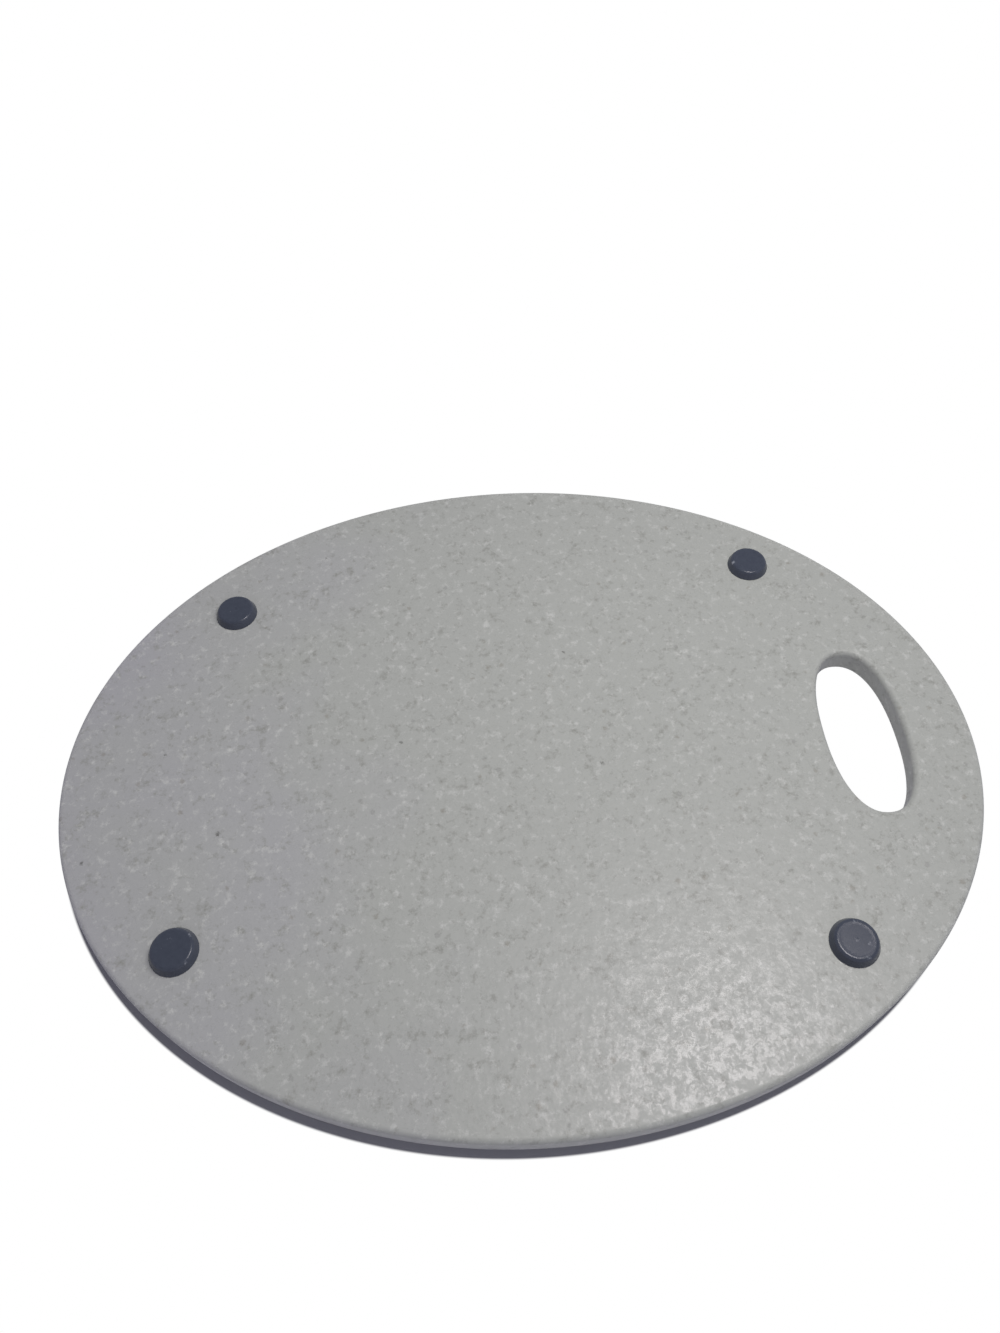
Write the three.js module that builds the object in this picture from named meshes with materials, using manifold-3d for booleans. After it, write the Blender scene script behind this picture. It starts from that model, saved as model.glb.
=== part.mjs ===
// An oval kitchen cutting board with a hand hole and four push-in rubber feet.
//
// The board lies on its cutting face with the feet turned up. Millimetres, +Z up. The origin is
// on the cutting face at the middle of the oval, +X runs to the end with the hand hole.

import * as THREE from 'three';
import { mergeVertices } from 'three/addons/utils/BufferGeometryUtils.js';
import Module from 'manifold-3d';

// Panel
const BOARD_LENGTH = 380;
const BOARD_WIDTH = 300;
const BOARD_THICKNESS = 12;
const EDGE_RADIUS = 2;
const MOST_EDGE_SHARE = 0.45; // of the thickness, for the rounding of each face

// Hand hole: the narrowest section of its wall. A squareness of 2 is an ellipse, more is fuller.
const HAND_HOLE_LENGTH = 77;
const HAND_HOLE_WIDTH = 33.5;
const HAND_HOLE_SQUARENESS = 2.3;
const HAND_HOLE_FROM_END = 44.5;
const HAND_HOLE_EDGE_RADIUS = 2.4;

// Foot: a low cone with a rounded shoulder and a flat top, which stands on the panel
const FOOT_BASE_DIAMETER = 18.5;
const FOOT_FLAT_DIAMETER = 13.7;
const FOOT_HEIGHT = 3.8;
const FOOT_BASE_LIP = 0.6;
const FOOT_SHOULDER_RADIUS = 1.5;

// Barbed stem of a foot, and the blind socket that holds it
const STEM_DIAMETER = 7;
const BARB_STAND_OUT = 0.6;
const BARB_PITCH = 2.2;
const BARB_COUNT = 2;
const STEM_TIP_CHAMFER = 1.2;
const SOCKET_DEPTH = 7;
const SOCKET_CLEARANCE = 0.3;

// Foot centres, measured in from the oval's ends and sides
const FOOT_PLACES = [
  { name: 'foot_hole_end_far', end: 1, side: 1, fromEnd: 75, fromSide: 57.5 },
  { name: 'foot_hole_end_near', end: 1, side: -1, fromEnd: 73.5, fromSide: 59.5 },
  { name: 'foot_plain_end_far', end: -1, side: 1, fromEnd: 64, fromSide: 70 },
  { name: 'foot_plain_end_near', end: -1, side: -1, fromEnd: 56.5, fromSide: 72 },
];

// Facets
const OVAL_POINTS = 96;
const HAND_HOLE_POINTS = 48;
const EDGE_STEPS = 3;
const HAND_HOLE_EDGE_STEPS = 4;
const ROUND_STEPS = 32;
const SHOULDER_STEPS = 4;
const MERGE_TOLERANCE = 1e-5;

const wasm = await Module();
wasm.setup();

function toSolid(geometry) {
  const bare = geometry.index ? geometry.toNonIndexed() : geometry.clone();
  bare.deleteAttribute('normal');
  bare.deleteAttribute('uv');
  const merged = mergeVertices(bare, MERGE_TOLERANCE);
  return new wasm.Manifold(new wasm.Mesh({
    numProp: 3,
    vertProperties: new Float32Array(merged.attributes.position.array),
    triVerts: new Uint32Array(merged.index.array),
  }));
}

function toGeometry(solid) {
  const mesh = solid.getMesh();
  const geometry = new THREE.BufferGeometry();
  geometry.setAttribute('position', new THREE.BufferAttribute(mesh.vertProperties, mesh.numProp));
  geometry.setIndex(new THREE.BufferAttribute(mesh.triVerts, 1));
  geometry.computeVertexNormals();
  return geometry;
}

// Points round a superellipse, anticlockwise
function ovalPoints(centreX, width, height, squareness, count) {
  const bend = (value) => Math.sign(value) * Math.abs(value) ** (2 / squareness);
  return Array.from({ length: count }, (_, i) => {
    const angle = (2 * Math.PI * i) / count;
    return new THREE.Vector2(
      centreX + (width / 2) * bend(Math.cos(angle)),
      (height / 2) * bend(Math.sin(angle)),
    );
  });
}

function footCentre({ end, side, fromEnd, fromSide }) {
  return new THREE.Vector2(end * (BOARD_LENGTH / 2 - fromEnd), side * (BOARD_WIDTH / 2 - fromSide));
}

// An edge is never rounded so far that the two faces' roundings would meet
function roundingWithin(radius) {
  return Math.min(radius, MOST_EDGE_SHARE * BOARD_THICKNESS);
}

// The panel is drawn at its full outline, and its edges are rounded in from there on both faces
function panelBlank() {
  const edgeRadius = roundingWithin(EDGE_RADIUS);
  const outline = new THREE.Shape(ovalPoints(0, BOARD_LENGTH, BOARD_WIDTH, 2, OVAL_POINTS));
  const blank = new THREE.ExtrudeGeometry(outline, {
    depth: BOARD_THICKNESS - 2 * edgeRadius,
    bevelThickness: edgeRadius,
    bevelSize: edgeRadius,
    bevelOffset: -edgeRadius,
    bevelSegments: EDGE_STEPS,
  });
  return blank.translate(0, 0, edgeRadius);
}

// A closed skin over convex rings of equal length, the lowest ring first
function loft(rings) {
  const count = rings[0].length;
  const last = (rings.length - 1) * count;
  const index = [];
  for (let start = 0; start < last; start += count) {
    for (let i = 0; i < count; i += 1) {
      const a = start + i;
      const b = start + ((i + 1) % count);
      index.push(a, b, b + count, a, b + count, a + count);
    }
  }
  for (let i = 1; i + 1 < count; i += 1) {
    index.push(0, i + 1, i, last, last + i, last + i + 1);
  }
  return new THREE.BufferGeometry().setFromPoints(rings.flat()).setIndex(index);
}

// The hand hole's cutter flares out at both faces, which leaves the hole's edges rounded
function handHoleCutter() {
  const radius = roundingWithin(HAND_HOLE_EDGE_RADIUS);
  const flare = Array.from({ length: HAND_HOLE_EDGE_STEPS + 1 }, (_, step) => {
    const angle = (Math.PI / 2) * (step / HAND_HOLE_EDGE_STEPS);
    return { outward: radius * (1 - Math.sin(angle)), height: radius * (1 - Math.cos(angle)) };
  });
  const lower = [{ outward: radius, height: -BOARD_THICKNESS }, ...flare];
  const upper = lower.map(({ outward, height }) => ({ outward, height: BOARD_THICKNESS - height })).reverse();
  const centreX = BOARD_LENGTH / 2 - HAND_HOLE_FROM_END;
  return loft([...lower, ...upper].map(({ outward, height }) => {
    const width = HAND_HOLE_WIDTH + 2 * outward;
    const length = HAND_HOLE_LENGTH + 2 * outward;
    const ring = ovalPoints(centreX, width, length, HAND_HOLE_SQUARENESS, HAND_HOLE_POINTS);
    return ring.map((point) => new THREE.Vector3(point.x, point.y, height));
  }));
}

function socketCutter(place) {
  const radius = STEM_DIAMETER / 2 + BARB_STAND_OUT + SOCKET_CLEARANCE;
  const cutterLength = 2 * SOCKET_DEPTH;
  const centre = footCentre(place);
  return new THREE.CylinderGeometry(radius, radius, cutterLength, ROUND_STEPS)
    .rotateX(Math.PI / 2)
    .translate(centre.x, centre.y, BOARD_THICKNESS);
}

function makePanel() {
  let solid = toSolid(panelBlank()).subtract(toSolid(handHoleCutter()));
  for (const place of FOOT_PLACES) {
    solid = solid.subtract(toSolid(socketCutter(place)));
  }
  const material = new THREE.MeshStandardMaterial({ color: 0xb4b4b0, roughness: 0.45, metalness: 0 });
  const panel = new THREE.Mesh(toGeometry(solid), material);
  panel.name = 'board_panel';
  return panel;
}

// Rounded shoulder of a foot. The straight side below runs into it without a kink, so the arc
// starts where a line from the lip touches the shoulder's circle.
function shoulderPoints() {
  const centreRadius = FOOT_FLAT_DIAMETER / 2;
  const centreHeight = FOOT_HEIGHT - FOOT_SHOULDER_RADIUS;
  const across = FOOT_BASE_DIAMETER / 2 - centreRadius;
  const down = centreHeight - FOOT_BASE_LIP;
  const start = Math.acos(FOOT_SHOULDER_RADIUS / Math.hypot(across, down)) - Math.atan2(down, across);
  return Array.from({ length: SHOULDER_STEPS + 1 }, (_, step) => {
    const angle = start + (Math.PI / 2 - start) * (step / SHOULDER_STEPS);
    return new THREE.Vector2(
      centreRadius + FOOT_SHOULDER_RADIUS * Math.cos(angle),
      centreHeight + FOOT_SHOULDER_RADIUS * Math.sin(angle),
    );
  });
}

// Half section of a foot from the tip of its stem up to its top. Height 0 is the panel's face.
function footProfile() {
  const stemRadius = STEM_DIAMETER / 2;
  const barbRadius = stemRadius + BARB_STAND_OUT;
  const baseRadius = FOOT_BASE_DIAMETER / 2;
  const tip = SOCKET_CLEARANCE - SOCKET_DEPTH;
  const points = [
    new THREE.Vector2(0, tip),
    new THREE.Vector2(barbRadius - STEM_TIP_CHAMFER, tip),
  ];
  for (let barb = 0; barb < BARB_COUNT; barb += 1) {
    const crest = tip + STEM_TIP_CHAMFER + barb * BARB_PITCH;
    points.push(new THREE.Vector2(barbRadius, crest));
    points.push(new THREE.Vector2(stemRadius, crest + BARB_STAND_OUT / 2));
    if (barb < BARB_COUNT - 1) {
      points.push(new THREE.Vector2(stemRadius, crest + BARB_PITCH - STEM_TIP_CHAMFER / 2));
    }
  }
  points.push(new THREE.Vector2(stemRadius, 0));
  points.push(new THREE.Vector2(baseRadius, 0));
  points.push(new THREE.Vector2(baseRadius, FOOT_BASE_LIP));
  points.push(...shoulderPoints());
  points.push(new THREE.Vector2(0, FOOT_HEIGHT));
  return points;
}

function makeFoot(place) {
  const turned = new THREE.LatheGeometry(footProfile(), ROUND_STEPS).rotateX(Math.PI / 2);
  const material = new THREE.MeshStandardMaterial({ color: 0x474a57, roughness: 0.5, metalness: 0 });
  const foot = new THREE.Mesh(turned, material);
  const centre = footCentre(place);
  foot.name = place.name;
  foot.position.set(centre.x, centre.y, BOARD_THICKNESS);
  return foot;
}

const cuttingBoard = new THREE.Group();
cuttingBoard.add(makePanel());
for (const place of FOOT_PLACES) {
  cuttingBoard.add(makeFoot(place));
}

export default cuttingBoard;
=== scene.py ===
# %% [markdown]
# # An oval cutting board, lying feet up
#
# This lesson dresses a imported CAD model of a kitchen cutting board: one oval panel of granite-look
# plastic with a hand hole, and four rubber feet. The CAD solids give the sizes and places, and they
# stay where they are. Blender adds finer meshes and the finish of each surface.

# %% Load the frame
import math

import bmesh
import bpy
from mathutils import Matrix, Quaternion, Vector


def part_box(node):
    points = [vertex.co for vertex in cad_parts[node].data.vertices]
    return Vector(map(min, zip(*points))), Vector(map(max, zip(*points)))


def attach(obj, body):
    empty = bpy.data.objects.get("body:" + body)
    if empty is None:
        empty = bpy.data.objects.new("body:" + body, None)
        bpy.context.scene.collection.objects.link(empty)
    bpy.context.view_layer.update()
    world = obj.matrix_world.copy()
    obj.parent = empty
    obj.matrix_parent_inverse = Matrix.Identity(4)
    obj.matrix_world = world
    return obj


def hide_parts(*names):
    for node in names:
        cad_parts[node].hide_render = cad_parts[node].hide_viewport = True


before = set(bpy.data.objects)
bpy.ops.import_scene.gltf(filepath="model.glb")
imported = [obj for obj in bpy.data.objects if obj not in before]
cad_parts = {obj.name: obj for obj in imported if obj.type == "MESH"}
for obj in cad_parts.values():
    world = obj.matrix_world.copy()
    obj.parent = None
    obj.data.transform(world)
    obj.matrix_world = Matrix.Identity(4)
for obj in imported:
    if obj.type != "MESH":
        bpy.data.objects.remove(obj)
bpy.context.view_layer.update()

MM = 0.001
print("CAD nodes:", sorted(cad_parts))

# %% [markdown]
# The overall sizes come from the frame, so the scene follows the CAD model. What a box can't tell,
# such as the radius of an edge, is written in the cell that first needs it, in millimetres.

# %% Read the panel's size
panel_low, panel_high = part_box("board_panel")
panel_half_length = panel_high.x / MM
panel_half_width = panel_high.y / MM
panel_thickness = panel_high.z / MM
print(f"panel {2 * panel_half_length:.1f} x {2 * panel_half_width:.1f} x {panel_thickness:.1f} mm")

# %% [markdown]
# ## Camera
#
# The board was photographed by hand from close by and from above, so the near rim looks large and
# the oval leans. A camera is placed by its eye, the point on the board that it looks at and a small
# roll. The lens follows from the focal length in pixels, because Blender measures a sensor of 36 mm
# along the longer side of the picture.

# %% Place the camera
CAMERA_EYE = Vector((-14.7, -200.1, 358.7))
CAMERA_AIM = Vector((-6.0, 42.0, 12.0))
CAMERA_ROLL = math.radians(-1.58)
FOCAL_PIXELS = 953.0
IMAGE_HEIGHT_PIXELS = 1333
SENSOR_MM = 36.0
CLIP_START = 0.01  # metres

camera = bpy.data.objects.new("camera", bpy.data.cameras.new("camera"))
camera.data.sensor_width = SENSOR_MM
camera.data.lens = SENSOR_MM * FOCAL_PIXELS / IMAGE_HEIGHT_PIXELS
camera.data.clip_start = CLIP_START
look = (CAMERA_AIM - CAMERA_EYE).to_track_quat("-Z", "Y")
roll = Quaternion((0, 0, 1), CAMERA_ROLL)
camera.rotation_euler = (look @ roll).to_euler()
camera.location = CAMERA_EYE * MM
bpy.context.scene.collection.objects.link(camera)
bpy.context.scene.camera = camera
print(f"lens {camera.data.lens:.2f} mm, {(CAMERA_EYE - CAMERA_AIM).length:.0f} mm from the board")

# %% [markdown]
# ## The panel
#
# On the real board the panel is one thick plate of plastic with its edges rounded over, so that it
# is kind to the hand and leaves the mould easily. Its mesh could be a flat outline with a bevel
# modifier. Here the rows of points round each edge are worked out instead, because then the same
# two short functions make the outer rim and the hand hole, and the curve is as smooth as we like.

# %% Points round an oval
def oval_points(centre_x, half_x, half_y, squareness, count):
    """Points of a superellipse with their outward normals, anticlockwise. Squareness 2 is an ellipse."""
    points = []
    for index in range(count):
        angle = 2 * math.pi * index / count
        cosine = math.copysign(abs(math.cos(angle)) ** (2 / squareness), math.cos(angle))
        sine = math.copysign(abs(math.sin(angle)) ** (2 / squareness), math.sin(angle))
        slope_x = math.copysign(abs(cosine) ** (squareness - 1), cosine) / half_x
        slope_y = math.copysign(abs(sine) ** (squareness - 1), sine) / half_y
        place = Vector((centre_x + half_x * cosine, half_y * sine))
        points.append((place, Vector((slope_x, slope_y)).normalized()))
    return points


RIM_POINTS = 288
HOLE_POINTS = 144
HAND_HOLE_LENGTH = 77.0
HAND_HOLE_WIDTH = 33.5
HAND_HOLE_SQUARENESS = 2.3
HAND_HOLE_FROM_END = 44.5
ELLIPSE = 2.0
HAIR = 0.001  # keeps rounding errors inside the CAD box

rim = oval_points(0.0, panel_half_length - HAIR, panel_half_width - HAIR, ELLIPSE, RIM_POINTS)
hand_hole = oval_points(
    panel_half_length - HAND_HOLE_FROM_END,
    HAND_HOLE_WIDTH / 2,
    HAND_HOLE_LENGTH / 2,
    HAND_HOLE_SQUARENESS,
    HOLE_POINTS,
)
print(f"rim of {len(rim)} points, hand hole of {len(hand_hole)} points")

# %% [markdown]
# A rounded edge is a quarter circle at each face with an upright wall between. The hand hole is
# rounded a little more than the rim, which is kinder to the fingers that carry the board. Each row
# says how far the points draw back from the outline and how high they stand. One extra row lies just
# inside each flat face, so that smooth shading ends at the edge and the faces stay flat.

# %% Rows of a rounded edge
RIM_EDGE_RADIUS = 2.0
HOLE_EDGE_RADIUS = 2.4
EDGE_STEPS = 9
FLAT_MARGIN = 0.5


def rounded_edge_rows(thickness, radius):
    """Pairs of (distance drawn back, height), from the upper face down to the lower one."""
    upper = [(radius + FLAT_MARGIN, thickness)]
    for step in range(EDGE_STEPS + 1):
        angle = math.pi / 2 * (1 - step / EDGE_STEPS)
        drawn_back = radius * (1 - math.cos(angle))
        upper.append((drawn_back, thickness - radius * (1 - math.sin(angle))))
    lower = [(drawn_back, thickness - height) for drawn_back, height in reversed(upper)]
    return upper + lower


rim_rows = rounded_edge_rows(panel_thickness, RIM_EDGE_RADIUS)
hole_rows = rounded_edge_rows(panel_thickness, HOLE_EDGE_RADIUS)
print(f"{len(rim_rows)} rows down the rim, {len(hole_rows)} down the hand hole")

# %% [markdown]
# The feet push into blind sockets in the panel. Nobody sees them once the feet are in, but a mesh
# with sockets is the honest shape of the moulding, and the feet then don't run through solid
# plastic. Their places come from the CAD feet.

# %% Find the feet
FOOT_NODES = sorted(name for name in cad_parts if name.startswith("foot_"))


def foot_centre(node):
    """Middle of a foot on the panel's upper face, in millimetres."""
    low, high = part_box(node)
    middle = (low + high) / 2 / MM
    return Vector((middle.x, middle.y, panel_thickness))


for node in FOOT_NODES:
    print(node, "at", [round(value, 1) for value in foot_centre(node)])

# %% [markdown]
# Every mesh in this lesson is a stack of rings of points joined by quads. Four small functions add a
# ring, join two of them, find the edges along one, and turn the result into an object whose faces
# are smooth and point out.

# %% Rings of points
def add_ring(mesh, points):
    return [mesh.verts.new(point * MM) for point in points]


def join_rings(mesh, first, second):
    """Quads between two rings of the same length, the first being the upper or outer one."""
    for index in range(len(first)):
        after = (index + 1) % len(first)
        mesh.faces.new((first[index], second[index], second[after], first[after]))


def ring_edges(mesh, ring):
    return [mesh.edges.get((ring[index - 1], ring[index])) for index in range(len(ring))]


def finish_mesh(name, mesh):
    """Turn a bmesh into an object of the scene with its faces pointing out and smooth."""
    bmesh.ops.recalc_face_normals(mesh, faces=mesh.faces)
    for face in mesh.faces:
        face.smooth = True
    data = bpy.data.meshes.new(name)
    mesh.to_mesh(data)
    mesh.free()
    made = bpy.data.objects.new(name, data)
    bpy.context.scene.collection.objects.link(made)
    return made


print(f"{len(rim) * (len(rim_rows) - 1)} quads will go down the rim")

# %% [markdown]
# The panel is a skin: bands of quads down the rim and down the hole, and a triangulated cap on each
# face. `triangle_fill` closes a face with holes in it, which saves cutting with a Boolean and leaves
# no stray edges.

# %% Build the panel
SOCKET_DIAMETER = 8.8
SOCKET_DEPTH = 7.0
SOCKET_POINTS = 48
PANEL_SHARP_ANGLE = math.radians(40)


def edge_rings(mesh, outline, rows, towards_material):
    """The rings of a rounded edge. The material lies inside a rim (-1) or outside a hole (+1)."""
    rings = []
    for drawn_back, height in rows:
        places = [place + normal * drawn_back * towards_material for place, normal in outline]
        rings.append(add_ring(mesh, [place.to_3d() + Vector((0, 0, height)) for place in places]))
    for upper, lower in zip(rings, rings[1:]):
        join_rings(mesh, upper, lower)
    return rings


def socket_rings(mesh, centre):
    """Walls and bottom of one blind socket. Gives back its mouth, for the cap to meet."""
    radius = SOCKET_DIAMETER / 2
    turns = [2 * math.pi * index / SOCKET_POINTS for index in range(SOCKET_POINTS)]
    circle = [Vector((radius * math.cos(turn), radius * math.sin(turn), 0)) for turn in turns]
    mouth = add_ring(mesh, [centre + offset for offset in circle])
    bottom = add_ring(mesh, [centre + offset - Vector((0, 0, SOCKET_DEPTH)) for offset in circle])
    join_rings(mesh, mouth, bottom)
    mesh.faces.new(bottom)
    return mouth


def build_panel():
    mesh = bmesh.new()
    rim_rings = edge_rings(mesh, rim, rim_rows, -1)
    hole_rings = edge_rings(mesh, hand_hole, hole_rows, 1)
    mouths = [socket_rings(mesh, foot_centre(node)) for node in FOOT_NODES]
    upper_loops = [rim_rings[0], hole_rings[0], *mouths]
    lower_loops = [rim_rings[-1], hole_rings[-1]]
    for loops in (upper_loops, lower_loops):
        edges = [edge for loop in loops for edge in ring_edges(mesh, loop)]
        bmesh.ops.triangle_fill(mesh, edges=edges, use_beauty=True)
    return finish_mesh("granite_look_panel", mesh)


panel = build_panel()
panel.data.set_sharp_from_angle(angle=PANEL_SHARP_ANGLE)
print(f"{panel.name}: {len(panel.data.polygons)} faces")

# %% [markdown]
# ## The feet
#
# Each foot is one rubber moulding: a low cone with a rounded shoulder, and a barbed stem that grips
# its socket. It is round, so its half section is turned about its axis, as on a lathe. The top is
# dished by a few hundredths of a millimetre, as thick rubber shrinks when it cools, and a small mark
# in the middle is where the rubber entered the mould.

# %% Half section of a foot
FOOT_FLAT_DIAMETER = 13.7
FOOT_BASE_LIP = 0.6
FOOT_SHOULDER_RADIUS = 1.5
FOOT_LIP_RADIUS = 0.15
FOOT_LIP_TURN = 60  # degrees of the lip's arc
STEM_DIAMETER = 7.0
BARB_STAND_OUT = 0.6
BARB_PITCH = 2.2
STEM_TIP_CHAMFER = 1.2
SINK_DEPTH = 0.03
SINK_EDGE = 1.2
SINK_STEPS = 4
GATE_RADIUS = 0.5
GATE_HEIGHT = 0.015
GATE_FOOT = 0.15
FLAT_RING = 0.2
ROUND_STEPS = 6


def arc(centre_radius, centre_height, radius, start, stop):
    """Points of a rounded corner in the half section, from angle start to stop in degrees."""
    points = []
    for step in range(ROUND_STEPS + 1):
        angle = math.radians(start + (stop - start) * step / ROUND_STEPS)
        points.append((centre_radius + radius * math.cos(angle), centre_height + radius * math.sin(angle)))
    return points


def stem_section(tip):
    """The barbed stem from its tip up to the panel's face."""
    stem = STEM_DIAMETER / 2
    barb = stem + BARB_STAND_OUT
    first = tip + STEM_TIP_CHAMFER
    second = first + BARB_PITCH
    return [
        (0.0, tip),
        (barb - STEM_TIP_CHAMFER, tip),
        (barb, first),
        (stem, first + BARB_STAND_OUT / 2),
        (stem, second - STEM_TIP_CHAMFER / 2),
        (barb, second),
        (stem, second + BARB_STAND_OUT / 2),
        (stem, 0.0),
    ]


def foot_section(base_radius, height, tip):
    """Half section of a foot as (radius, height above the panel), from the stem's tip to the top."""
    flat_radius = FOOT_FLAT_DIAMETER / 2
    shoulder_height = height - FOOT_SHOULDER_RADIUS
    lip_radius = base_radius - FOOT_LIP_RADIUS
    lip_height = FOOT_BASE_LIP - FOOT_LIP_RADIUS
    lip = arc(lip_radius, lip_height, FOOT_LIP_RADIUS, 0, FOOT_LIP_TURN)
    across = base_radius - flat_radius
    down = shoulder_height - FOOT_BASE_LIP
    touch = math.acos(FOOT_SHOULDER_RADIUS / math.hypot(across, down)) - math.atan2(down, across)
    shoulder = arc(flat_radius, shoulder_height, FOOT_SHOULDER_RADIUS, math.degrees(touch), 90)
    sink = []
    for step in range(1, SINK_STEPS + 1):
        share = step / SINK_STEPS
        drop = SINK_DEPTH * (1 - math.cos(math.pi * share)) / 2
        sink.append((flat_radius - SINK_EDGE * share, height - drop))
    dish = height - SINK_DEPTH
    gate = [
        (flat_radius - SINK_EDGE - FLAT_RING, dish),
        (GATE_RADIUS + GATE_FOOT + FLAT_RING, dish),
        (GATE_RADIUS + GATE_FOOT, dish),
        (GATE_RADIUS, dish + GATE_HEIGHT),
        (0.0, dish + GATE_HEIGHT),
    ]
    return stem_section(tip) + [(base_radius, 0.0)] + lip + shoulder + sink + gate


print(f"flat top {FOOT_FLAT_DIAMETER} mm across, stem of {STEM_DIAMETER} mm")

# %% [markdown]
# Turning the section makes one ring of points for each step. A point on the axis is a single
# vertex, so the mesh closes there without a pinched ring.

# %% Turn the feet
FOOT_SEGMENTS = 96
FOOT_SHARP_ANGLE = math.radians(32)


def turned_piece(name, section, centre):
    """A piece turned about an upright axis through its centre."""
    mesh = bmesh.new()
    rings = []
    for radius, height in section:
        if radius == 0.0:
            rings.append([mesh.verts.new((centre + Vector((0, 0, height))) * MM)])
            continue
        turns = [2 * math.pi * index / FOOT_SEGMENTS for index in range(FOOT_SEGMENTS)]
        offsets = [Vector((radius * math.cos(turn), radius * math.sin(turn), height)) for turn in turns]
        rings.append(add_ring(mesh, [centre + offset for offset in offsets]))
    for lower, upper in zip(rings, rings[1:]):
        if len(lower) == len(upper):
            join_rings(mesh, upper, lower)
            continue
        pole, ring = sorted((lower, upper), key=len)
        for index in range(FOOT_SEGMENTS):
            mesh.faces.new((pole[0], ring[index], ring[(index + 1) % FOOT_SEGMENTS]))
    return finish_mesh(name, mesh)


feet = {}
for node in FOOT_NODES:
    low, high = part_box(node)
    base_radius = (high.x - low.x) / 2 / MM
    section = foot_section(base_radius, high.z / MM - panel_thickness, low.z / MM - panel_thickness)
    foot = turned_piece("rubber_" + node, section, foot_centre(node))
    foot.data.set_sharp_from_angle(angle=FOOT_SHARP_ANGLE)
    feet[node] = foot
    print(f"{foot.name}: {2 * base_radius:.1f} mm across, {len(foot.data.polygons)} faces")

# %% [markdown]
# ## Helpers for materials
#
# Colours are easiest to read as sRGB hex values, but shaders work in linear light, so one function
# converts them. A second function adds a node, sets it and links it in one call. A third turns the
# real size of a feature in millimetres into the scale of a texture, which counts features per metre.

# %% Material helpers
def linear(hex_colour):
    """A colour written as sRGB hex, as the linear RGBA that shaders take."""
    channels = [int(hex_colour[start:start + 2], 16) / 255 for start in (1, 3, 5)]
    straight = [c / 12.92 if c <= 0.04045 else ((c + 0.055) / 1.055) ** 2.4 for c in channels]
    return (*straight, 1.0)


def add_node(tree, kind, inputs=None, **settings):
    """Add a node, set its properties, and set or link its inputs by name or number."""
    node = tree.nodes.new(kind)
    for name, value in settings.items():
        setattr(node, name, value)
    for socket, value in (inputs or {}).items():
        if isinstance(value, bpy.types.NodeSocket):
            tree.links.new(value, node.inputs[socket])
        else:
            node.inputs[socket].default_value = value
    return node


def per_metre(size_mm):
    """Scale of a texture whose features are about this many millimetres across."""
    return 1000.0 / size_mm


def new_material(name):
    material = bpy.data.materials.new(name)
    material.use_nodes = True
    material.node_tree.nodes.clear()
    return material


print("mid grey #808080 is", round(linear("#808080")[0], 3), "in linear light")

# %% [markdown]
# ## Granite-look polypropylene, injection moulded
#
# The panel's plastic is polypropylene with coloured grains mixed in before moulding. The eye sees a
# calm pale grey, broken by sparse dark, brown and white flecks of about a millimetre, and a satin
# shine that breaks into bright scraps because the mould's face is finely pebbled. The grains run
# right through the plastic, so solid 3-D textures suit it better than a painted picture: a fleck
# goes over the rounded edge and down into the hand hole.
#
# Each family of flecks is a Voronoi texture: its cells are scattered points, some of them are kept,
# and what lies close to a kept point is a fleck. A little noise on the coordinates makes the grains
# angular instead of round.

# %% Families of flecks
# name, colour, spacing of the cells, size of a fleck, share of cells that hold one, strength
FLECKS = [
    ("dark grains", "#52514d", 5.2, 2.0, 0.42, 0.74),
    ("brown grains", "#756d60", 7.0, 2.6, 0.55, 0.38),
    ("white grains", "#dddddb", 5.2, 1.8, 0.4, 0.32),
]
GRAIN_WARP = (1.0, 2.2)  # size of the noise, and how far it pushes
FINE_NOISE = {"Detail": 1.0}
NOISE_MIDDLE = (0.5, 0.5, 0.5)
CORE_SHARE = 0.4  # of a fleck's reach, full inside
FADE_SHARE = 1.3  # of a fleck's reach, gone outside


def warped_place(tree, place, size, amount):
    """Coordinates pushed about by noise, which turns round grains into angular ones."""
    noise = add_node(
        tree, "ShaderNodeTexNoise", {"Vector": place, "Scale": per_metre(size), **FINE_NOISE})
    centred = add_node(
        tree, "ShaderNodeVectorMath", {0: noise.outputs["Color"], 1: NOISE_MIDDLE},
        operation="SUBTRACT")
    pushed = add_node(
        tree, "ShaderNodeVectorMath", {0: centred.outputs[0], 1: (amount * MM,) * 3, 2: place},
        operation="MULTIPLY_ADD")
    return pushed.outputs[0]


def fleck_mask(tree, place, spacing, size, share):
    """A socket that is 1 inside the flecks of one family and 0 elsewhere."""
    cells = add_node(tree, "ShaderNodeTexVoronoi", {"Vector": place, "Scale": per_metre(spacing)})
    draw = add_node(tree, "ShaderNodeSeparateColor", {"Color": cells.outputs["Color"]})
    reach = size / 2 / spacing
    spread = add_node(
        tree, "ShaderNodeMath",
        {0: draw.outputs["Green"], 1: reach, 2: cells.outputs["Distance"]},
        operation="MULTIPLY_ADD",
    )
    inside = add_node(
        tree, "ShaderNodeMapRange",
        {"Value": spread.outputs[0], "From Min": reach * CORE_SHARE, "From Max": reach * FADE_SHARE,
         "To Min": 1.0, "To Max": 0.0},
        interpolation_type="SMOOTHSTEP",
    )
    kept = add_node(
        tree, "ShaderNodeMath", {0: draw.outputs["Red"], 1: share}, operation="LESS_THAN")
    mask = add_node(
        tree, "ShaderNodeMath", {0: inside.outputs[0], 1: kept.outputs[0]}, operation="MULTIPLY")
    return mask.outputs[0]


print(f"{len(FLECKS)} families of flecks")

# %% [markdown]
# The body colour isn't one grey either. Moulded plastic with grains in it flows into faint warm and
# cool clouds some centimetres wide, and the finest grains blur into a soft mottle. Both are noise
# that moves the colour between close greys. Along the board the body also drifts, from the warmer
# grey at the hand hole to the cooler one at the plain end.

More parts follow.
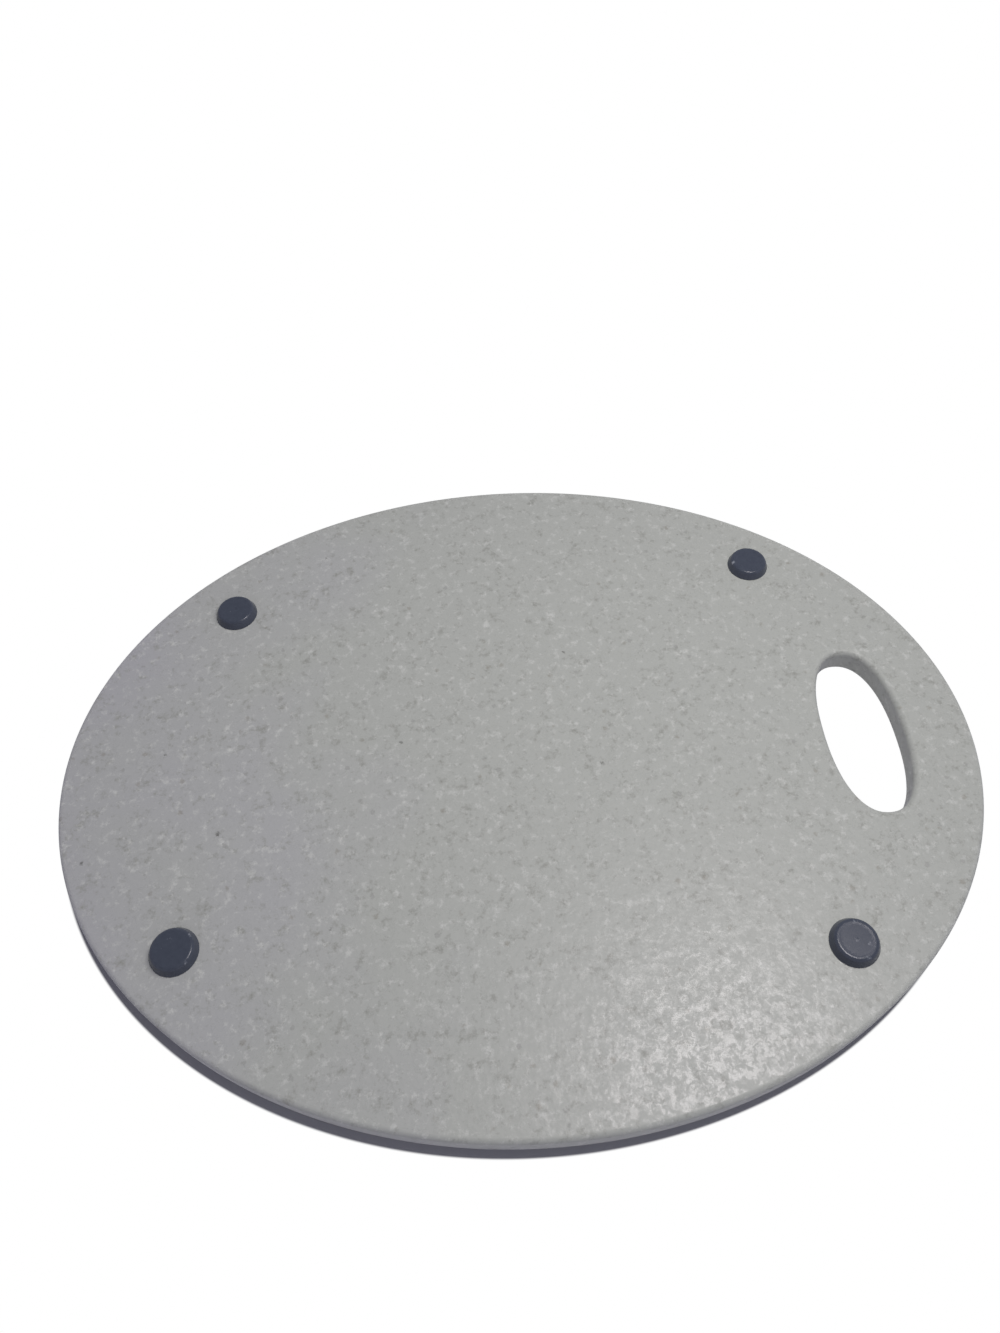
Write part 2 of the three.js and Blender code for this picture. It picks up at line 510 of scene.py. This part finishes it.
# %% Build the panel's colour
BODY_COOL = "#a4a3a7"
BODY_WARM = "#a7a8a4"
CLOUD_SIZE = 70.0
CLOUD_NOISE = {"Detail": 2.0, "Roughness": 0.5}
DRIFT_LENGTH = 250.0
DRIFT_RANGE = (-0.35, 0.25)  # where the body is all cool, and all warm
# colour, size of the clumps, and the noise values where they begin and are full
CLUMPS = [
    ("#8e8e89", 5.0, 0.46, 0.27),
    ("#c2c2bf", 4.2, 0.54, 0.76),
]
CLUMP_NOISE = {"Detail": 3.5, "Roughness": 0.85}


def granite_colour(tree, place):
    """The colour of the plastic between the flecks."""
    cloud = add_node(
        tree, "ShaderNodeTexNoise",
        {"Vector": place, "Scale": per_metre(CLOUD_SIZE), **CLOUD_NOISE})
    along = add_node(tree, "ShaderNodeSeparateXYZ", {0: place})
    drift = add_node(
        tree, "ShaderNodeMath",
        {0: along.outputs["X"], 1: per_metre(DRIFT_LENGTH), 2: cloud.outputs["Fac"]},
        operation="MULTIPLY_ADD")
    cloud_share = add_node(
        tree, "ShaderNodeMapRange",
        {"Value": drift.outputs[0], "From Min": DRIFT_RANGE[0], "From Max": DRIFT_RANGE[1]})
    body = add_node(
        tree, "ShaderNodeMix",
        {0: cloud_share.outputs[0], 6: linear(BODY_COOL), 7: linear(BODY_WARM)}, data_type="RGBA")
    shade = body.outputs[2]
    for colour, size, low, high in CLUMPS:
        clumps = add_node(
            tree, "ShaderNodeTexNoise",
            {"Vector": place, "Scale": per_metre(size), **CLUMP_NOISE})
        amount = add_node(
            tree, "ShaderNodeMapRange",
            {"Value": clumps.outputs["Fac"], "From Min": low, "From Max": high})
        mixed = add_node(
            tree, "ShaderNodeMix",
            {0: amount.outputs[0], 6: shade, 7: linear(colour)}, data_type="RGBA")
        shade = mixed.outputs[2]
    return shade


print(f"body between {BODY_COOL} and {BODY_WARM}, {len(CLUMPS)} kinds of clumps")

# %% [markdown]
# A face from a textured mould is satin, with a roughness of about 0.45, usual for polypropylene.
# Where the texture is thin, ragged scraps some millimetres wide come out more polished, and these
# catch the lamp. So the roughness follows a noise that another noise has pushed about. The rounded
# edges and the walls are satin all over, so the scraps end where the flat face ends.

# %% Roughness of the moulded faces
SATIN_ROUGHNESS = 0.45
POLISHED_ROUGHNESS = 0.26
SCRAP_SIZE = 3.3
SCRAP_WARP = (2.6, 6.0)  # size of the noise, and how far it pushes
SCRAP_NOISE = {"Detail": 3.4, "Roughness": 0.75}
POLISH_RANGE = (0.41, 0.57)  # noise values where the polish begins and is full
FLAT_NORMAL = 0.996  # a face counts as flat when its normal is this close to upright


def flat_faces(tree):
    """1 on the two flat faces, 0 on the rounded edges and the walls."""
    normal = add_node(tree, "ShaderNodeTexCoord").outputs["Normal"]
    parts = add_node(tree, "ShaderNodeSeparateXYZ", {0: normal})
    upright = add_node(tree, "ShaderNodeMath", {0: parts.outputs["Z"]}, operation="ABSOLUTE")
    flat = add_node(
        tree, "ShaderNodeMapRange",
        {"Value": upright.outputs[0], "From Min": FLAT_NORMAL, "From Max": 1.0})
    return flat.outputs[0]


def mould_roughness(tree, place, flat):
    """Satin all over, with ragged polished scraps on the flat faces."""
    scraps = add_node(
        tree, "ShaderNodeTexNoise",
        {"Vector": warped_place(tree, place, *SCRAP_WARP), "Scale": per_metre(SCRAP_SIZE),
         **SCRAP_NOISE})
    polished = add_node(
        tree, "ShaderNodeMapRange",
        {"Value": scraps.outputs["Fac"], "From Min": POLISH_RANGE[0], "From Max": POLISH_RANGE[1]})
    on_flats = add_node(
        tree, "ShaderNodeMath", {0: polished.outputs[0], 1: flat}, operation="MULTIPLY")
    roughness = add_node(
        tree, "ShaderNodeMapRange",
        {"Value": on_flats.outputs[0], "To Min": SATIN_ROUGHNESS, "To Max": POLISHED_ROUGHNESS})
    return roughness.outputs[0]


print(f"roughness {SATIN_ROUGHNESS}, down to {POLISHED_ROUGHNESS} in scraps of {SCRAP_SIZE} mm")

# %% [markdown]
# The pebbles are a bump: wide, low swellings on the flat faces, some hundredths of a millimetre high
# at most. A much finer grit lies all over. Both tilt the surface a little, so that a polished scrap
# shines most where it also leans towards the lamp. Then colour, roughness and bump meet in one shader.

# %% Build the panel's material
POLYPROPYLENE_IOR = 1.49
PEBBLE_SIZE = 2.8
PEBBLE_HEIGHT = 0.12  # over the whole range of the noise, most of which is never reached
PEBBLE_NOISE = {"Detail": 1.5, "Roughness": 0.5}
GRIT_SIZE = 0.9
GRIT_HEIGHT = 0.008


def polypropylene_material():
    material = new_material("moulded_polypropylene_granite_look")
    tree = material.node_tree
    place = add_node(tree, "ShaderNodeTexCoord").outputs["Object"]
    colour = granite_colour(tree, place)
    grain_place = warped_place(tree, place, *GRAIN_WARP)
    for name, hex_colour, spacing, size, share, strength in FLECKS:
        mask = fleck_mask(tree, grain_place, spacing, size, share)
        amount = add_node(tree, "ShaderNodeMath", {0: mask, 1: strength}, operation="MULTIPLY")
        mixed = add_node(
            tree, "ShaderNodeMix",
            {0: amount.outputs[0], 6: colour, 7: linear(hex_colour)}, data_type="RGBA", label=name)
        colour = mixed.outputs[2]
    pebbles = add_node(
        tree, "ShaderNodeTexNoise",
        {"Vector": place, "Scale": per_metre(PEBBLE_SIZE), **PEBBLE_NOISE})
    grit = add_node(
        tree, "ShaderNodeTexNoise",
        {"Vector": place, "Scale": per_metre(GRIT_SIZE), **FINE_NOISE})
    flat = flat_faces(tree)
    pebble_bump = add_node(
        tree, "ShaderNodeBump",
        {"Height": pebbles.outputs["Fac"], "Distance": PEBBLE_HEIGHT * MM, "Strength": flat})
    grit_bump = add_node(
        tree, "ShaderNodeBump",
        {"Height": grit.outputs["Fac"], "Distance": GRIT_HEIGHT * MM, "Strength": 1.0,
         "Normal": pebble_bump.outputs[0]})
    shader = add_node(
        tree, "ShaderNodeBsdfPrincipled",
        {"Base Color": colour, "Roughness": mould_roughness(tree, place, flat),
         "IOR": POLYPROPYLENE_IOR, "Normal": grit_bump.outputs[0]})
    add_node(tree, "ShaderNodeOutputMaterial", {"Surface": shader.outputs[0]})
    return material


polypropylene = polypropylene_material()
print(polypropylene.name, "has", len(polypropylene.node_tree.nodes), "nodes")

# %% [markdown]
# ## Thermoplastic rubber, moulded
#
# The feet are slate-grey rubber from a smooth mould. It is much darker than the panel and glossier,
# so a lamp draws thin bright arcs along the shoulders. Where the board has been slid about, it
# carries pale scuffs and crumbs, and some of the same pale spots are painted highlights on small
# dents. The colour varies a little with fine noise, and sparse Voronoi points make the scuffs and
# the painted highlights.

# %% Build the feet's material
RUBBER_IOR = 1.52
RUBBER_ROUGHNESS = 0.25
RUBBER_DARK = "#3b404c"
RUBBER_LIGHT = "#464b57"
# pale spots: real scuffs and crumbs, and partly painted highlights on small dents
SCUFF_AND_GLINT_COLOUR = "#a9acb4"
RUBBER_MOTTLE = 2.0
MOTTLE_NOISE = {"Detail": 3.0}
RUBBER_GRIT = 0.4
RUBBER_GRIT_HEIGHT = 0.006
SCUFF_AND_GLINT = (5.0, 2.6, 0.8)  # spacing of the cells, size, share of cells that hold one
SCUFF_AND_GLINT_STRENGTH = 0.7


def rubber_material():
    material = new_material("moulded_thermoplastic_rubber")
    tree = material.node_tree
    place = add_node(tree, "ShaderNodeTexCoord").outputs["Object"]
    mottle = add_node(
        tree, "ShaderNodeTexNoise",
        {"Vector": place, "Scale": per_metre(RUBBER_MOTTLE), **MOTTLE_NOISE})
    body = add_node(
        tree, "ShaderNodeMix",
        {0: mottle.outputs["Fac"], 6: linear(RUBBER_DARK), 7: linear(RUBBER_LIGHT)},
        data_type="RGBA")
    # Pale spots, partly real scuffs and partly painted highlights on small dents.
    scuffs_and_glints = fleck_mask(tree, warped_place(tree, place, *GRAIN_WARP), *SCUFF_AND_GLINT)
    faint = add_node(tree, "ShaderNodeMath", {0: scuffs_and_glints, 1: SCUFF_AND_GLINT_STRENGTH}, operation="MULTIPLY")
    colour = add_node(
        tree, "ShaderNodeMix",
        {0: faint.outputs[0], 6: body.outputs[2], 7: linear(SCUFF_AND_GLINT_COLOUR)}, data_type="RGBA")
    grit = add_node(
        tree, "ShaderNodeTexNoise",
        {"Vector": place, "Scale": per_metre(RUBBER_GRIT), **FINE_NOISE})
    bump = add_node(
        tree, "ShaderNodeBump",
        {"Height": grit.outputs["Fac"], "Distance": RUBBER_GRIT_HEIGHT * MM, "Strength": 1.0})
    shader = add_node(
        tree, "ShaderNodeBsdfPrincipled",
        {"Base Color": colour.outputs[2], "Roughness": RUBBER_ROUGHNESS, "IOR": RUBBER_IOR,
         "Normal": bump.outputs[0]})
    add_node(tree, "ShaderNodeOutputMaterial", {"Surface": shader.outputs[0]})
    return material


rubber = rubber_material()
print(rubber.name, "has", len(rubber.node_tree.nodes), "nodes")

# %% [markdown]
# ## Hand the pieces to the frame
#
# Each new mesh stands for the CAD solid that it refines. The solid stays for collisions and isn't
# shown. The board has no joints, so everything rides on one body.

# %% Dress the frame
def dress(piece, node, material):
    piece.data.materials.append(material)
    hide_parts(node)
    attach(piece, "root")


dress(panel, "board_panel", polypropylene)
for node, foot in feet.items():
    dress(foot, node, rubber)
print("dressed", 1 + len(feet), "pieces")

# %% [markdown]
# ## Floor and background
#
# The board lies on plain white ground. The floor is pale and matt, so its light comes up through the
# hand hole and brightens the walls there. The camera sees it as pure white, which gives the picture
# its background without more light on the board. Only a ring along the rim stays as the lamps shade
# it, and there the board keeps its shadow. That ring is also given a darker grey, which is painted
# shade that deepens the shadow. The ring is the panel's oval, moved the way that the key lamp throws
# the shadow, so the painted shade lies where the real shadow falls.

# %% Lay the floor
FLOOR_HALF_SIZE = 3.0
FLOOR_DROP = 0.0001
FLOOR_COLOUR = "#e4e4e4"
# the darker grey of the ring is painted shade, laid where the board's shadow falls
PAINTED_SHADE_RING_COLOUR = "#afafb5"
WHITE = "#ffffff"
KEY_AZIMUTH = math.radians(57)
KEY_ELEVATION = math.radians(70)
SHADOW_KEPT = 0.7  # of the shadow's length, how far the ring is moved
SHADOW_RING = 0.97  # middle line of the ring, as a share of the panel's oval
SHADOW_REACH = (0.027, 0.033)  # from the middle line, where the white begins and is full


def direction_to(azimuth, elevation):
    """A unit vector towards a lamp that stands at these angles, in radians from +X and the floor."""
    level = math.cos(elevation)
    return Vector((level * math.cos(azimuth), level * math.sin(azimuth), math.sin(elevation)))


to_key = direction_to(KEY_AZIMUTH, KEY_ELEVATION)
shadow_shift = SHADOW_KEPT * panel_thickness * MM / to_key.z * Vector((-to_key.x, -to_key.y, 0.0))

mesh = bmesh.new()
corners = [(-1, -1), (1, -1), (1, 1), (-1, 1)]
mesh.faces.new(
    [mesh.verts.new((x * FLOOR_HALF_SIZE, y * FLOOR_HALF_SIZE, -FLOOR_DROP)) for x, y in corners])
floor = finish_mesh("floor", mesh)


def seen_rays(tree):
    """1 for the rays that show a surface straight to the camera, else 0."""
    return add_node(tree, "ShaderNodeLightPath").outputs["Is Camera Ray"]


paper = new_material("matt_white_paper_with_painted_shade_ring")
tree = paper.node_tree
white = add_node(tree, "ShaderNodeEmission", {"Color": linear(WHITE), "Strength": 1.0})
place = add_node(tree, "ShaderNodeTexCoord").outputs["Object"]
half_sizes = (panel_half_length * MM, panel_half_width * MM, 1.0)
moved = add_node(tree, "ShaderNodeVectorMath", {0: place, 1: shadow_shift}, operation="SUBTRACT")
across = add_node(
    tree, "ShaderNodeVectorMath", {0: moved.outputs[0], 1: half_sizes}, operation="DIVIDE")
out = add_node(tree, "ShaderNodeVectorMath", {0: across.outputs[0]}, operation="LENGTH")
off_rim = add_node(
    tree, "ShaderNodeMath", {0: out.outputs["Value"], 1: SHADOW_RING}, operation="SUBTRACT")
away = add_node(tree, "ShaderNodeMath", {0: off_rim.outputs[0]}, operation="ABSOLUTE")
clear = add_node(
    tree, "ShaderNodeMapRange",
    {"Value": away.outputs[0], "From Min": SHADOW_REACH[0], "From Max": SHADOW_REACH[1]},
    interpolation_type="SMOOTHSTEP")
# The ring's darker grey is painted shade along the rim; outside it the floor is pale.
floor_and_painted_shade_tone = add_node(
    tree, "ShaderNodeMix",
    {0: clear.outputs[0], 6: linear(PAINTED_SHADE_RING_COLOUR), 7: linear(FLOOR_COLOUR)}, data_type="RGBA")
shaded = add_node(tree, "ShaderNodeBsdfDiffuse", {"Color": floor_and_painted_shade_tone.outputs[2]})
whitened = add_node(
    tree, "ShaderNodeMath", {0: clear.outputs[0], 1: seen_rays(tree)}, operation="MULTIPLY")
ground = add_node(
    tree, "ShaderNodeMixShader", {0: whitened.outputs[0], 1: shaded.outputs[0], 2: white.outputs[0]})
add_node(tree, "ShaderNodeOutputMaterial", {"Surface": ground.outputs[0]})
floor.data.materials.append(paper)
floor.visible_glossy = False
print(f"floor {2 * FLOOR_HALF_SIZE:.0f} m wide, ring moved by {shadow_shift.length / MM:.1f} mm")

# %% [markdown]
# The world is white to the camera, like the floor. For everything else it is a weak, slightly violet
# fill that is brighter at the horizon than overhead, like the pale walls of a room. It reaches the
# upright sides of the board and the feet more than the faces.

# %% Fill from the room
FILL_COLOUR = "#e2e1f2"
FILL_HORIZON = 0.52
FILL_ZENITH = 0.1

world = bpy.data.worlds.new("white_room")
world.use_nodes = True
tree = world.node_tree
tree.nodes.clear()
direction = add_node(tree, "ShaderNodeTexCoord").outputs["Generated"]
height = add_node(tree, "ShaderNodeSeparateXYZ", {0: direction})
strength = add_node(
    tree, "ShaderNodeMapRange",
    {"Value": height.outputs["Z"], "To Min": FILL_HORIZON, "To Max": FILL_ZENITH})
fill = add_node(
    tree, "ShaderNodeBackground", {"Color": linear(FILL_COLOUR), "Strength": strength.outputs[0]})
white = add_node(tree, "ShaderNodeBackground", {"Color": linear(WHITE), "Strength": 1.0})
both = add_node(
    tree, "ShaderNodeMixShader", {0: seen_rays(tree), 1: fill.outputs[0], 2: white.outputs[0]})
add_node(tree, "ShaderNodeOutputWorld", {"Surface": both.outputs[0]})
bpy.context.scene.world = world
print(f"fill of {FILL_HORIZON} at the horizon and {FILL_ZENITH} overhead")

# %% [markdown]
# ## Lamps
#
# Four lamps do four jobs. The key lamp stands high behind the board's right end and throws the narrow
# shadow along the near left rim. It is a sun, whose light is the same all over the board. The front
# lamp is a weak, very wide sun that opens up the near sides. The side panel hangs over the hand hole
# and makes that end paler than the other. These three light only the matt colour. The shine lamp
# shows only as a reflection: it makes the broken shine at the lower right and the arcs on the feet.
# With colour and shine lit apart, each can be set without spoiling the other.

# %% Hang the lamps
KEY_STRENGTH = 1.1
KEY_SPREAD = math.radians(4)
FRONT_AZIMUTH = math.radians(-70)
FRONT_ELEVATION = math.radians(27)
FRONT_STRENGTH = 0.47
FRONT_SPREAD = math.radians(100)
FRONT_COLOUR = "#f4f4ff"
SIDE_PLACE = Vector((0.135, 0.05, 0.42))
SIDE_SIZE = 0.2
SIDE_POWER = 0.86
SIDE_COLOUR = "#fffffa"
SHINE_PLACE = Vector((0.305, 0.07, 1.156))
SHINE_SIZE = 0.34
SHINE_POWER = 3.85
SHINE_COLOUR = "#fff9fa"


def hang_lamp(name, kind, place, aim, **settings):
    """A lamp at a place that shines towards its aim. Settings go to the lamp's data."""
    lamp = bpy.data.objects.new(name, bpy.data.lights.new(name, kind))
    for setting, value in settings.items():
        setattr(lamp.data, setting, value)
    lamp.location = place
    lamp.rotation_euler = (aim - place).to_track_quat("-Z", "Y").to_euler()
    bpy.context.scene.collection.objects.link(lamp)
    return lamp


board_middle = Vector((0, 0, panel_thickness * MM))
key_lamp = hang_lamp(
    "key_lamp", "SUN", board_middle + to_key, board_middle,
    energy=KEY_STRENGTH, angle=KEY_SPREAD)
front_lamp = hang_lamp(
    "front_lamp", "SUN", board_middle + direction_to(FRONT_AZIMUTH, FRONT_ELEVATION), board_middle,
    energy=FRONT_STRENGTH, angle=FRONT_SPREAD, color=linear(FRONT_COLOUR)[:3])
side_lamp = hang_lamp(
    "side_panel", "AREA", SIDE_PLACE, board_middle,
    energy=SIDE_POWER, shape="DISK", size=SIDE_SIZE, color=linear(SIDE_COLOUR)[:3])
shine_lamp = hang_lamp(
    "shine_lamp", "AREA", SHINE_PLACE, board_middle,
    energy=SHINE_POWER, shape="DISK", size=SHINE_SIZE, color=linear(SHINE_COLOUR)[:3])
for lamp in (key_lamp, front_lamp, side_lamp):
    lamp.visible_glossy = False
shine_lamp.visible_diffuse = False
bpy.context.scene.view_settings.view_transform = "Standard"
for lamp in (key_lamp, front_lamp, side_lamp, shine_lamp):
    print(f"{lamp.name}: {lamp.data.type.lower()} of {lamp.data.energy:.2f}")
